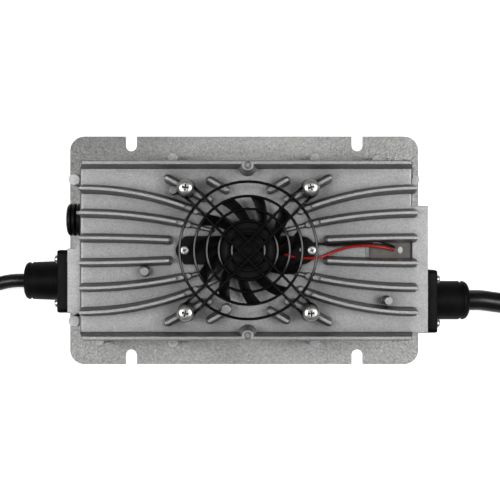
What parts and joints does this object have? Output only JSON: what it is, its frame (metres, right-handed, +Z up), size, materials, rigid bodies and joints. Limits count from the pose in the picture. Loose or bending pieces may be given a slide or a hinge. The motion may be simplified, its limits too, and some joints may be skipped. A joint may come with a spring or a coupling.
{
  "type": "waterproof battery charger",
  "caption": "Potted waterproof battery charger with a finned die-cast housing, a guarded cooling fan and a slotted base plate.",
  "frame": {"origin": "middle of the base plate's underside", "axes": "+X towards the battery lead's gland, +Y across the housing towards the side with the rubber plug, +Z up out of the fan"},
  "size_m": [0.5857, 0.1698, 0.0632],
  "materials": {
    "base_plate": "galvanised sheet with a fine hammered texture",
    "housing": "shot-blasted die casting",
    "seal": "matt",
    "base_screw": "zinc plated",
    "potting": "satin poured compound",
    "board": "solder mask",
    "ferrite": "matt sintered",
    "winding": "enamelled wire",
    "component": "sleeved",
    "fuse": "smooth",
    "fan_plastic": "satin moulded",
    "bearing": "sintered",
    "fan_steel": "ground",
    "red_wire": "smooth insulation",
    "black_wire": "smooth insulation",
    "guard_wire": "black coated steel wire",
    "screw": "bright nickel plated",
    "gland": "satin moulded",
    "cable": "smooth sheath",
    "plug": "satin moulded",
    "pin": "bright",
    "connector": "moulded",
    "contact": "silver plated"
  },
  "bodies": {
    "charger": {"base_plate": "base_plate", "base_gasket": "seal", "base_screws": "base_screw", "housing": "housing", "potting_compound": "potting", "circuit_board": "board", "transformer_core": "ferrite", "transformer_winding": "winding", "bulk_capacitors": "component", "input_choke": "winding", "output_choke": "winding", "output_capacitors": "component", "power_transistors": "component", "input_fuse": "fuse", "side_plug": "seal", "fan_bracket": "fan_plastic", "fan_motor_board": "board", "fan_stator": "winding", "fan_bearing": "bearing", "fan_screws": "screw", "red_fan_wire": "red_wire", "black_fan_wire": "black_wire", "guard_rings": "guard_wire", "guard_arms": "guard_wire", "guard_screws": "screw", "input_gland_gasket": "seal", "input_gland": "gland", "input_gland_screws": "screw", "input_lead_inner": "cable", "output_gland_gasket": "seal", "output_gland": "gland", "output_gland_screws": "screw", "output_lead_inner": "cable", "input_cable": "cable", "input_coil": "cable", "input_tail": "cable", "mains_plug": "plug", "mains_plug_pins": "pin", "output_cable": "cable", "output_coil": "cable", "output_tail": "cable", "output_connector": "connector", "connector_contacts": "contact"},
    "fan_rotor": {"fan_shaft": "fan_steel", "fan_impeller": "fan_plastic", "rotor_yoke": "fan_steel", "rotor_magnet": "ferrite"}
  },
  "joints": [
    {"name": "fan_spin", "type": "hinge", "parent": "charger", "child": "fan_rotor", "pos_m": [0.0026, 0, 0.0535], "axis": [0, 0, 1], "continuous": true}
  ]
}
